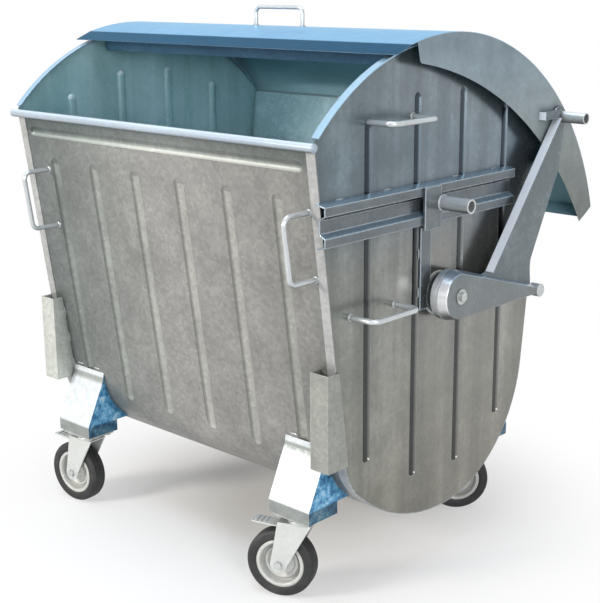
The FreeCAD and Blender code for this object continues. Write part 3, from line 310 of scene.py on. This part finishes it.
# electroplated zinc: brighter and finer than dipped zinc
hardwareZinc = galvanised("zinc_plated_hardware", sheet(
    greys=("#a4a8a6", "#c3c7c5", "#e6eae8"), spangleMm=5, spangleShare=0.1, cloudMm=40, runShare=0.1,
    roughness=(0.25, 0.36), metallic=0.8))
forkZinc = galvanised("zinc_plated_pressing", sheet(
    greys=("#b9bcb9", "#cdd0cd", "#e3e5e3"), spangleMm=6, spangleShare=0.1, cloudMm=50, cloudShare=0.3, runShare=0.1,
    roughness=(0.28, 0.4), metallic=0.3))
# stove enamel on pressed steel: pale and even, with painted shade in the steps
rimPaint = galvanised("enamelled_wheel_steel", sheet(
    greys=("#aeb0ab", "#c6c7c2", "#dfe0db"), spangleMm=6, spangleShare=0.05, cloudMm=30, cloudShare=0.4, runShare=0.0,
    grimeMm=12, grimeShare=0.9, roughness=(0.3, 0.42), metallic=0.1))
# sintered bronze: brown gold with fine dark pores
bronze = galvanised("sintered_bronze", sheet(
    greys=("#8a6a3f", "#a8834f", "#c5a06a"), spangleMm=2, spangleShare=0.2, cloudMm=10, runShare=0.0, metallic=0.9))
# weld beads dipped with the rest: lumpy, small crystals, light tops
weldZinc = galvanised("galvanised_weld_bead", sheet(
    greys=("#8b8f8e", "#aab0b0", "#d3dade"), spangleMm=4, spangleShare=0.2, cloudMm=12, runShare=0.0, metallic=0.5,
    roughness=(0.25, 0.4)))

# Solid rubber, moulded: charcoal grey, dusty and matt, with a faint pebbled skin.
rubberLook = {"greys": [(0.3, "#1b1c1c"), (0.55, "#292a2a"), (0.8, "#414240")], "dustMm": 45, "dustDetail": 6.0,
              "pebbleMm": 2.5, "pebbleDeepMm": 0.4, "pebbleStrength": 0.25, "roughness": 0.62}
rubber, tree = newMaterial("moulded_solid_rubber")
spot = addNode(tree, "ShaderNodeTexCoord", {}, {}).outputs["Object"]
dust = addNode(tree, "ShaderNodeTexNoise", {},
               {"Vector": spot, "Scale": 1000 / rubberLook["dustMm"], "Detail": rubberLook["dustDetail"]})
greys = addNode(tree, "ShaderNodeValToRGB", {"stops": rubberLook["greys"]}, {0: dust.outputs["Fac"]})
pebbles = addNode(tree, "ShaderNodeTexNoise", {}, {"Vector": spot, "Scale": 1000 / rubberLook["pebbleMm"]})
skin = addNode(tree, "ShaderNodeBump", {},
               {"Strength": rubberLook["pebbleStrength"], "Distance": rubberLook["pebbleDeepMm"] / 1000,
                "Height": pebbles.outputs["Fac"]})
surface = addNode(tree, "ShaderNodeBsdfPrincipled", {},
                  {"Base Color": greys.outputs[0], "Roughness": rubberLook["roughness"], "Normal": skin.outputs[0]})
addNode(tree, "ShaderNodeOutputMaterial", {}, {"Surface": surface.outputs[0]})

finishes = [
    (frontSheet, ["front_wall"]),
    (stripSheet, ["edge_strips"]),
    (hullSheet, ["bottom_trough", "rear_wall"]),
    (endSheets["right"], ["end_wall_right"]),
    (endSheets["left"], ["end_wall_left"]),
    (barZinc, ["front_rim", "rear_rim"]),
    (domeZinc, ["dome_bars"]),
    (handleZinc, ["front_handle_right", "front_handle_left", "end_handles_right", "end_handles_left", "lid_handle"]),
    (railZinc, ["side_rail_right", "side_rail_left", "trunnion_straps"]),
    (tubeZinc, ["trunnion_right", "trunnion_left", "arm_pins", "lever_tips"]),
    (pocketZinc, ["corner_pockets"]),
    (legZinc, ["leg_front_right", "leg_front_left", "leg_rear_right", "leg_rear_left"]),
    (lidSheet, ["lid_shell"]),
    (cheekSheet, ["lid_cheek_right", "lid_cheek_left"]),
    (lipSheet, ["lid_front_lip"]),
    (leverZinc, ["lever_cover_right", "lever_cover_left", "lever_backs"]),
    (armZinc, ["lid_arm_right", "lid_arm_left", "arm_brackets"]),
    (hardwareZinc, ["castor_plates", "castor_fasteners", "pivot_bolts", "pivot_axles", "lid_stops"]
     + ["axle_" + name for name in castorNames]),
    (forkZinc, ["fork_" + name for name in castorNames] + ["brake_pedal_front_right", "brake_pedal_front_left"]),
    (rimPaint, ["wheel_rim_" + name for name in castorNames]),
    (rubber, ["tyre_" + name for name in castorNames]),
    (bronze, ["pivot_bushes"]),
]
for material, names in finishes:
    for name in names:
        nodes[name].data.materials.clear()
        nodes[name].data.materials.append(material)
print("materials set:", len(finishes), "finishes")


def pick(piece):  # the only piece selected, and active
    bpy.ops.object.select_all(action="DESELECT")
    piece.select_set(True)
    bpy.context.view_layer.objects.active = piece


def newPiece(name):  # the primitive just added, in object mode
    piece = bpy.context.object
    piece.name = name
    piece.data.name = name
    return piece


def copyTo(piece, name, matrix):  # a copy with its own mesh, its place kept in the mesh
    pick(piece)
    bpy.ops.object.duplicate()
    copied = newPiece(name)
    copied.matrix_world = matrix
    bpy.ops.object.transform_apply(location=True, rotation=True, scale=True)
    return copied


def removePiece(piece):
    pick(piece)
    bpy.ops.object.delete()


def dress(piece, body, material, angle=35):  # angle: edges sharper than this, in degrees, stay crisp
    pick(piece)
    bpy.ops.object.shade_smooth_by_angle(angle=math.radians(angle))
    piece.data.materials.clear()
    piece.data.materials.append(material)
    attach(piece, body)


def upright(start, direction):  # matrix whose local Z runs along a direction
    turn = Vector((0, 0, 1)).rotation_difference(Vector(direction))
    return Matrix.Translation(Vector(start)) @ turn.to_matrix().to_4x4()


def inMetres(place):
    return Vector(place) / 1000


turning = {"seedMm": 10, "mergeMm": 0.01, "roundSegments": 2}


# a closed section of (radius, height) in mm, its corners rounded, spun about local Z
def turnSection(name, section, roundMm, steps):
    bpy.ops.object.select_all(action="DESELECT")
    bpy.ops.mesh.primitive_plane_add(size=turning["seedMm"] / 1000)
    piece = newPiece(name)
    bpy.ops.object.mode_set(mode="EDIT")
    bpy.ops.mesh.select_mode(type="VERT")
    bpy.ops.mesh.select_all(action="SELECT")
    bpy.ops.mesh.merge(type="CENTER")
    corners = [Vector((r / 1000, 0, z / 1000)) for r, z in section]
    bpy.ops.transform.translate(value=corners[0])
    for before, after in zip(corners, corners[1:] + corners[:1]):
        bpy.ops.mesh.extrude_vertices_move(TRANSFORM_OT_translate={"value": after - before})
    bpy.ops.mesh.select_all(action="SELECT")
    bpy.ops.mesh.remove_doubles(threshold=turning["mergeMm"] / 1000)
    bpy.ops.mesh.bevel(offset=roundMm / 1000, segments=turning["roundSegments"], affect="VERTICES")
    bpy.ops.mesh.select_all(action="SELECT")
    bpy.ops.mesh.spin(steps=steps, angle=2 * math.pi, center=(0, 0, 0), axis=(0, 0, 1))
    bpy.ops.mesh.select_all(action="SELECT")
    bpy.ops.mesh.remove_doubles(threshold=turning["mergeMm"] / 1000)
    bpy.ops.mesh.normals_make_consistent(inside=False)
    bpy.ops.object.mode_set(mode="OBJECT")
    return piece


def swell(piece, chosen, byMm):  # push the chosen points out along their normals
    pick(piece)
    bpy.ops.object.mode_set(mode="EDIT")
    bpy.ops.mesh.select_all(action="DESELECT")
    bpy.ops.object.mode_set(mode="OBJECT")
    for vertex in piece.data.vertices:
        vertex.select = chosen(vertex.co)
    bpy.ops.object.mode_set(mode="EDIT")
    bpy.ops.transform.shrink_fatten(value=byMm / 1000)
    bpy.ops.object.mode_set(mode="OBJECT")


tyreShape = {"round": 1.0, "steps": 72, "angle": 50,
             "half": [(72, 24), (77, 26.2), (84, 27), (92, 26.6), (97.5, 23.5), (100.4, 18), (101, 11), (99.6, 10),
                      (99.6, 8.4), (101, 7.4)]}
rimShape = {"round": 1.2, "steps": 72, "angle": 50,
            "half": [(7.1, 29), (15, 29), (19, 26), (21, 21), (22, 10), (27, 5), (38, 4.5), (42, 9), (48, 10),
                     (52, 5), (57, 4.5), (60, 10), (61, 22.5), (63.5, 24.6), (68, 24.2), (70, 22.8), (72, 23.2)]}
tyreMaster = turnSection("tyreMaster", tyreShape["half"] + [(r, -w) for r, w in tyreShape["half"][::-1]],
                         tyreShape["round"], tyreShape["steps"])
rimMaster = turnSection("rimMaster", rimShape["half"] + [(r, -w) for r, w in rimShape["half"][::-1]],
                        rimShape["round"], rimShape["steps"])
for name in castorNames:
    axle = joints["roll_" + name]
    spot = upright(axle["pos_m"], axle["axis"])
    tyre = copyTo(tyreMaster, "rubberTyre_" + name, spot)
    dress(tyre, "wheel_" + name, rubber, tyreShape["angle"])
    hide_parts("tyre_" + name)
    rim = copyTo(rimMaster, "pressedRim_" + name, spot)
    dress(rim, "wheel_" + name, rimPaint, rimShape["angle"])
    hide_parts("wheel_rim_" + name)
removePiece(tyreMaster)
removePiece(rimMaster)
print("wheels turned")

# ball-race cups round each king pin, one on the fork and one on the plate
cupShape = {"round": 1.2, "steps": 56, "fork": [(32, 229), (37, 230.5), (38.5, 236), (37, 240.2), (32, 240.2)],
            "plate": [(32, 241.4), (36, 241.4), (39.5, 246), (41, 250), (32, 250)]}
forkCup = turnSection("forkCup", cupShape["fork"], cupShape["round"], cupShape["steps"])
plateCup = turnSection("plateCup", cupShape["plate"], cupShape["round"], cupShape["steps"])
for name in castorNames:
    pivot = joints["swivel_" + name]["pos_m"]
    spot = Matrix.Translation((pivot[0], pivot[1], 0))
    dress(copyTo(forkCup, "forkRaceCup_" + name, spot), "castor_" + name, forkZinc)
    dress(copyTo(plateCup, "plateRaceCup_" + name, spot), "container", hardwareZinc)
removePiece(forkCup)
removePiece(plateCup)
print("swivel cups turned")

# domed plugs pressed into the ends of the rim tubes
plugShape = {"round": 0.6, "steps": 32, "section": [(0, -6), (9.3, -6), (9.3, 0.2), (6.5, 1.4), (0, 2.0)]}
plug = turnSection("plug", plugShape["section"], plugShape["round"], plugShape["steps"])
for rim in ("front_rim", "rear_rim"):
    low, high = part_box(rim)
    for side, x, way in (("right", high[0], 1), ("left", low[0], -1)):
        spot = upright((x, (low[1] + high[1]) / 2, (low[2] + high[2]) / 2), (way, 0, 0))
        dress(copyTo(plug, rim + "_plug_" + side, spot), "container", barZinc)
removePiece(plug)
print("rim plugs turned")

# rippled weld rings where round bars meet sheet: bar radius, then the places in mm with the way they face
weldShape = {"wide": 4.2, "round": 0.8, "steps": 40, "plainBar": 15, "ripple": 0.35, "sunk": 1.0,
             "shoulder": (0.65, 0.45), "crown": 0.9, "angle": 60}  # shoulder and crown in shares of the width
frontFace = (0, -0.991, -0.133)
weldPlaces = {
    "frontHandleWeld": {"bar": 7, "body": "container", "places": [
        ((x, y, z), frontFace) for x in (583, -512) for y, z in ((-489.1, 1128), (-465.1, 950))]},
    "endHandleWeld": {"bar": 8, "body": "container", "places": [
        ((side * 623, y, z), (side, 0, 0)) for side in (1, -1)
        for y, z in ((-124.5, 1340), (-374.5, 838), (-191.5, 838))]},
    "trunnionWeld": {"bar": 20, "body": "container", "places": [
        ((side * 662, -35, 1100), (side, 0, 0)) for side in (1, -1)]},
    "pivotDiscWeld": {"bar": 60, "body": "container", "places": [
        ((side * 623, 0, 835), (side, 0, 0)) for side in (1, -1)]},
    "armPinWeld": {"bar": 17, "body": "lid", "places": [((side * 675, 524, 1286), (side, 0, 0)) for side in (1, -1)]},
    "lidHandleWeld": {"bar": 6, "body": "lid", "places": [((x, 12.6, 1555.4), (0, 0.02, 1)) for x in (97, -97)]},
}
for kind, weld in weldPlaces.items():
    bar, wide, sunk = weld["bar"], weldShape["wide"], weldShape["sunk"]
    out, up = weldShape["shoulder"]
    section = [(bar - sunk, -sunk), (bar + wide, -sunk), (bar + out * wide, up * wide),
               (bar - sunk, weldShape["crown"] * wide)]
    steps = 2 * round(weldShape["steps"] * max(1, bar / weldShape["plainBar"]) / 2)  # even, so the ripple closes
    ring = turnSection(kind, section, weldShape["round"], steps)
    swell(ring, lambda co: round(math.atan2(co.y, co.x) * steps / (2 * math.pi)) % 2 == 0, weldShape["ripple"])
    for number, (place, way) in enumerate(weld["places"]):
        piece = copyTo(ring, kind + "_" + str(number), upright(inMetres(place), way))
        dress(piece, weld["body"], weldZinc, weldShape["angle"])
    removePiece(ring)
print("weld rings turned")

# short rippled weld stitches along the rails, straps, pockets and leg flanges: places in mm and the way they run
stitchShape = {"half": (3.0, 2.4, 15.0), "rings": 26, "segments": 14, "ripple": 0.45, "angle": 60,
               "endX": 623.4, "railYs": (-420, -230, 70, 260), "railZs": (1157.4, 1040.6),
               "strapYs": (-90.4, -44.6), "strapZs": (850, 960),
               "pocketX": 562.6, "pocketZs": (470, 560, 650), "frontTop": (-511.8, 1297), "frontSlope": 0.1345,
               "legXs": (440, 525), "legFlange": (-402, 476)}
frontY, frontZ = stitchShape["frontTop"]  # the front sheet leans back below this place
stitchPlaces = []
for side in (1, -1):
    endX = side * stitchShape["endX"]
    stitchPlaces += [((endX, y, z), (0, 1, 0)) for y in stitchShape["railYs"] for z in stitchShape["railZs"]]
    stitchPlaces += [((endX, y, z), (0, 0, 1)) for z in stitchShape["strapZs"] for y in stitchShape["strapYs"]]
    for z in stitchShape["pocketZs"]:
        y = frontY - (z - frontZ) * stitchShape["frontSlope"]
        stitchPlaces.append(((side * stitchShape["pocketX"], y, z), (0, frontFace[2], -frontFace[1])))
    stitchPlaces += [((side * x, *stitchShape["legFlange"]), (1, 0, 0)) for x in stitchShape["legXs"]]
bpy.ops.object.select_all(action="DESELECT")
bpy.ops.mesh.primitive_uv_sphere_add(segments=stitchShape["segments"], ring_count=stitchShape["rings"], radius=0.001)
stitch = newPiece("stitch")
stitch.scale = stitchShape["half"]
bpy.ops.object.transform_apply(location=True, rotation=True, scale=True)
stitchLevels = sorted({round(vertex.co.z, 6) for vertex in stitch.data.vertices})
swell(stitch, lambda co: stitchLevels.index(round(co.z, 6)) % 2 == 0, stitchShape["ripple"])
for number, (place, way) in enumerate(stitchPlaces):
    piece = copyTo(stitch, "weldStitch_" + str(number), upright(inMetres(place), way))
    dress(piece, "container", weldZinc, stitchShape["angle"])
removePiece(stitch)
print("weld stitches copied:", len(stitchPlaces))

# raised grip ribs across the brake pedals, in the pedal's own run from the king pin outwards
gripShape = {"size": (4.0, 38.0, 3.0), "places": ((104, 219.4), (117, 220.7), (130, 222.0)), "round": 1.2,
             "segments": 3}
bpy.ops.object.select_all(action="DESELECT")
bpy.ops.mesh.primitive_cube_add(size=0.001)
grip = newPiece("grip")
grip.scale = gripShape["size"]
bpy.ops.object.transform_apply(location=True, rotation=True, scale=True)
bpy.ops.object.mode_set(mode="EDIT")
bpy.ops.mesh.select_all(action="SELECT")
bpy.ops.mesh.bevel(offset=gripShape["round"] / 1000, segments=gripShape["segments"], affect="EDGES")
bpy.ops.object.mode_set(mode="OBJECT")
for name in castorNames[:2]:
    king, axle = Vector(joints["swivel_" + name]["pos_m"]), Vector(joints["roll_" + name]["pos_m"])
    trail = Vector((axle.x - king.x, axle.y - king.y, 0)).normalized()
    turn = Matrix.Rotation(math.atan2(trail.y, trail.x), 4, "Z")
    for number, (reach, z) in enumerate(gripShape["places"]):
        spot = Matrix.Translation((king.x, king.y, 0)) @ turn @ Matrix.Translation(inMetres((reach, 0, z)))
        piece = copyTo(grip, "pedalGrip_" + name + "_" + str(number), spot)
        dress(piece, "pedal_" + name, forkZinc)
removePiece(grip)
print("pedal grips placed")

# matt floor that fades into a white surround, just below the tyres
stageLook = {"floor": "#f4f3f1", "far": "#ffffff", "clearRadius": 0.0, "fadeRadius": 1.25, "floorSize": 60.0,
             "drop": 0.0005}
bpy.ops.object.select_all(action="DESELECT")
bpy.ops.mesh.primitive_plane_add(size=stageLook["floorSize"], location=(0, 0, -stageLook["drop"]))
floor = newPiece("floor")
floorPaint, tree = newMaterial("matt_studio_floor")
place = addNode(tree, "ShaderNodeTexCoord", {}, {})
away = addNode(tree, "ShaderNodeVectorMath", {"operation": "LENGTH"}, {0: place.outputs["Object"]})
fade = addNode(tree, "ShaderNodeMapRange", {"interpolation_type": "SMOOTHSTEP"},
               {"Value": away.outputs["Value"], "From Min": stageLook["clearRadius"],
                "From Max": stageLook["fadeRadius"]})
matt = addNode(tree, "ShaderNodeBsdfDiffuse", {}, {"Color": linearColour(stageLook["floor"])})
bright = addNode(tree, "ShaderNodeEmission", {}, {"Color": linearColour(stageLook["far"])})
share = addNode(tree, "ShaderNodeMath", {"operation": "MULTIPLY"}, {0: straightRays(tree), 1: fade.outputs[0]})
mixed = addNode(tree, "ShaderNodeMixShader", {}, {0: share.outputs[0], 1: matt.outputs[0], 2: bright.outputs[0]})
addNode(tree, "ShaderNodeOutputMaterial", {}, {"Surface": mixed.outputs[0]})
floor.data.materials.append(floorPaint)

skyLook = {"tint": "#ffffff", "lighting": 0.3, "seen": 1.0}  # white to the eye, dimmer as a light
world = bpy.data.worlds.new("studio_white")
bpy.context.scene.world = world
world.use_nodes = True
tree = world.node_tree
tree.nodes.clear()
level = addNode(tree, "ShaderNodeMapRange", {},
                {"Value": straightRays(tree), "To Min": skyLook["lighting"], "To Max": skyLook["seen"]})
sky = addNode(tree, "ShaderNodeBackground", {},
              {"Color": linearColour(skyLook["tint"]), "Strength": level.outputs[0]})
addNode(tree, "ShaderNodeOutputWorld", {}, {"Surface": sky.outputs[0]})

lamps = {
    "keySoftbox": {"spot": (-2.0, -5.4, 2.9), "aim": (0.0, 0.2, 0.9), "size": 1.4, "watts": 250, "spread": 180,
                   "tint": "#fffaf2"},
    "topSoftbox": {"spot": (0.2, -0.8, 5.2), "aim": (0.0, 0.0, 0.9), "size": 3.0, "watts": 140, "spread": 180,
                   "tint": "#d8e9ff"},
    "sideSoftbox": {"spot": (4.6, -2.6, 2.2), "aim": (0.4, 0.0, 0.8), "size": 1.8, "watts": 110, "spread": 180,
                    "tint": "#fbfaff"},
    "mouthSoftbox": {"spot": (1.6, -4.0, 2.05), "aim": (-0.52, 0.42, 1.28), "size": 0.4, "watts": 0.35, "spread": 11,
                     "tint": "#f2fbff"},  # gridded, into the mouth only
}
for name, lamp in lamps.items():
    bpy.ops.object.light_add(type="AREA", location=lamp["spot"])
    light = bpy.context.object
    light.name = name
    light.data.size = lamp["size"]
    light.data.energy = lamp["watts"]
    light.data.spread = math.radians(lamp["spread"])
    light.data.color = linearColour(lamp["tint"])[:3]
    light.rotation_euler = (Vector(lamp["aim"]) - Vector(lamp["spot"])).to_track_quat("-Z", "Y").to_euler()

# viewpoint of the photograph: place in metres, angles in degrees, focal length in pixels of a 600 px wide picture
shot = {"spot": (2.64284, -2.71577, 1.70843), "azimuth": 43.23, "down": 14.96, "roll": -0.46, "focalPx": 1228.86,
        "widthPx": 600, "sensorMm": 36.0, "farM": 200}
azimuth, down, roll = (math.radians(shot[key]) for key in ("azimuth", "down", "roll"))
ahead = Vector((-math.sin(azimuth) * math.cos(down), math.cos(azimuth) * math.cos(down), -math.sin(down)))
right = Vector((math.cos(azimuth), math.sin(azimuth), 0))
upward = right.cross(ahead)
rightTurned = right * math.cos(roll) + upward * math.sin(roll)
upTurned = upward * math.cos(roll) - right * math.sin(roll)
bpy.ops.object.camera_add()
camera = bpy.context.object
camera.matrix_world = Matrix((
    (rightTurned.x, upTurned.x, -ahead.x, shot["spot"][0]),
    (rightTurned.y, upTurned.y, -ahead.y, shot["spot"][1]),
    (rightTurned.z, upTurned.z, -ahead.z, shot["spot"][2]),
    (0, 0, 0, 1)))
camera.data.sensor_fit = "HORIZONTAL"
camera.data.sensor_width = shot["sensorMm"]
camera.data.lens = shot["focalPx"] / shot["widthPx"] * shot["sensorMm"]
camera.data.clip_end = shot["farM"]
bpy.context.scene.camera = camera
bpy.context.scene.view_settings.view_transform = "Standard"
print("floor, lamps and camera set")
